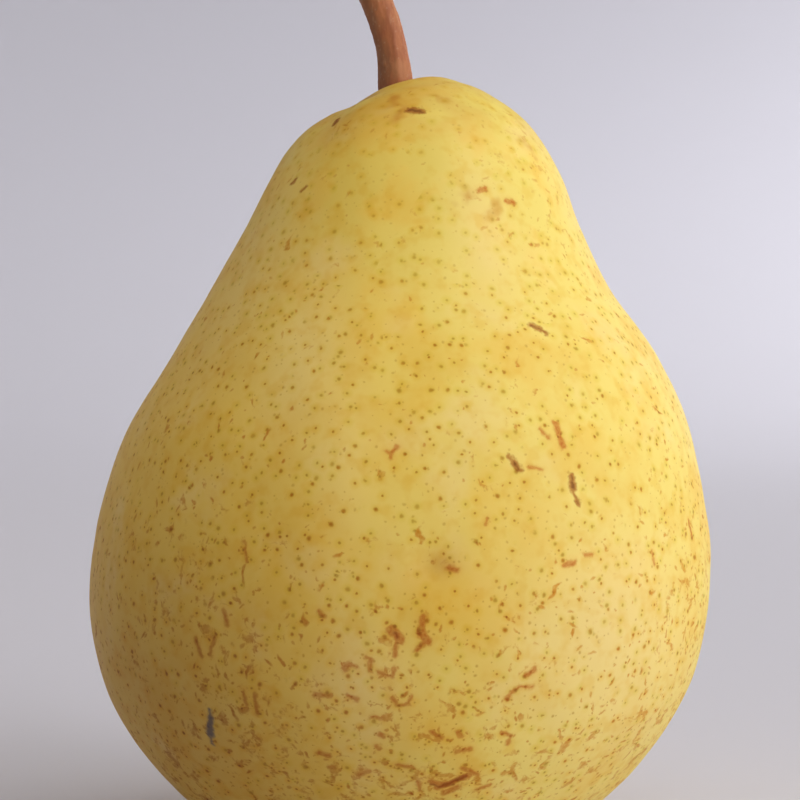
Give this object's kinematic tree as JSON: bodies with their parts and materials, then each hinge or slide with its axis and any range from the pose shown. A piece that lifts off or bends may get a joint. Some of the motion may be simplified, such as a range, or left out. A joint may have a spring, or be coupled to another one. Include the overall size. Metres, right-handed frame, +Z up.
{
  "type": "pear",
  "caption": "Ripe yellow pear with a leaning neck, a curved woody stem and a dried calyx in the basin it stands on.",
  "frame": {"origin": "middle of the model's box, at the bottom, which is the flat ring round the calyx basin that the pear rests on", "axes": "+Z up along the core, from the calyx to the stem; +X towards the side that the neck leans to; -Y is the front, as seen in the picture"},
  "size_m": [0.0718, 0.071, 0.1146],
  "materials": {
    "skin": "satin yellow fruit skin with brown lenticels and russet marks",
    "stem_bark": "matt red-brown bark",
    "dry_calyx": "matt dark brown, withered"
  },
  "bodies": {
    "root": {"fruit": "skin", "stem": "stem_bark", "sepal_1": "dry_calyx", "sepal_2": "dry_calyx", "sepal_3": "dry_calyx", "sepal_4": "dry_calyx", "sepal_5": "dry_calyx", "stamen_crown": "dry_calyx"}
  },
  "joints": []
}
